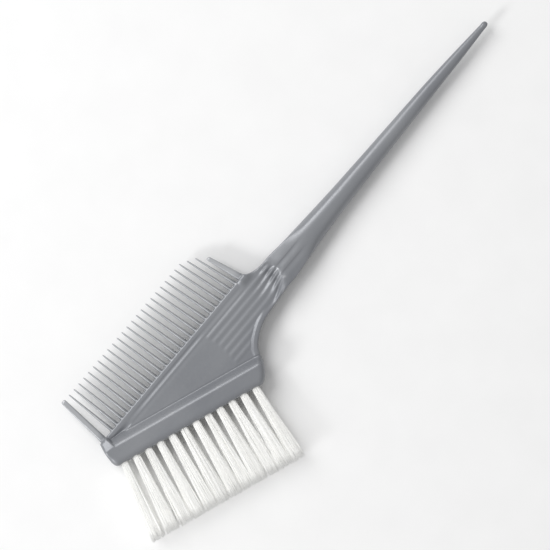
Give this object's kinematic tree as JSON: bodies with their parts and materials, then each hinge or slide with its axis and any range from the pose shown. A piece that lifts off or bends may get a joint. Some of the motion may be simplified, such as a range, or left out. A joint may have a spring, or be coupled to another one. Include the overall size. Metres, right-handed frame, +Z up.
{
  "type": "tint brush",
  "caption": "Hair tint brush moulded with a comb along one side, a slanting bar of nylon bristle tufts along the other, and a tapering rat-tail handle.",
  "frame": {"origin": "centre of the brush's box in plan, on the plane that it lies on", "axes": "+X along the handle towards its tip, +Y towards the comb's tooth tips, +Z up from the surface that it lies on"},
  "size_m": [0.2134, 0.0764, 0.0092],
  "materials": {
    "moulding": "satin silver-grey moulded plastic",
    "bristle": "white nylon filaments",
    "anchor": "flat plated wire"
  },
  "bodies": {
    "root": {"body": "moulding", "tuft_1_1": "bristle", "anchor_1_1": "anchor", "tuft_1_2": "bristle", "anchor_1_2": "anchor", "tuft_1_3": "bristle", "anchor_1_3": "anchor", "tuft_1_4": "bristle", "anchor_1_4": "anchor", "tuft_1_5": "bristle", "anchor_1_5": "anchor", "tuft_1_6": "bristle", "anchor_1_6": "anchor", "tuft_1_7": "bristle", "anchor_1_7": "anchor", "tuft_1_8": "bristle", "anchor_1_8": "anchor", "tuft_1_9": "bristle", "anchor_1_9": "anchor", "tuft_1_10": "bristle", "anchor_1_10": "anchor", "tuft_1_11": "bristle", "anchor_1_11": "anchor", "tuft_1_12": "bristle", "anchor_1_12": "anchor", "tuft_2_1": "bristle", "anchor_2_1": "anchor", "tuft_2_2": "bristle", "anchor_2_2": "anchor", "tuft_2_3": "bristle", "anchor_2_3": "anchor", "tuft_2_4": "bristle", "anchor_2_4": "anchor", "tuft_2_5": "bristle", "anchor_2_5": "anchor", "tuft_2_6": "bristle", "anchor_2_6": "anchor", "tuft_2_7": "bristle", "anchor_2_7": "anchor", "tuft_2_8": "bristle", "anchor_2_8": "anchor", "tuft_2_9": "bristle", "anchor_2_9": "anchor", "tuft_2_10": "bristle", "anchor_2_10": "anchor", "tuft_2_11": "bristle", "anchor_2_11": "anchor", "tuft_2_12": "bristle", "anchor_2_12": "anchor"}
  },
  "joints": []
}
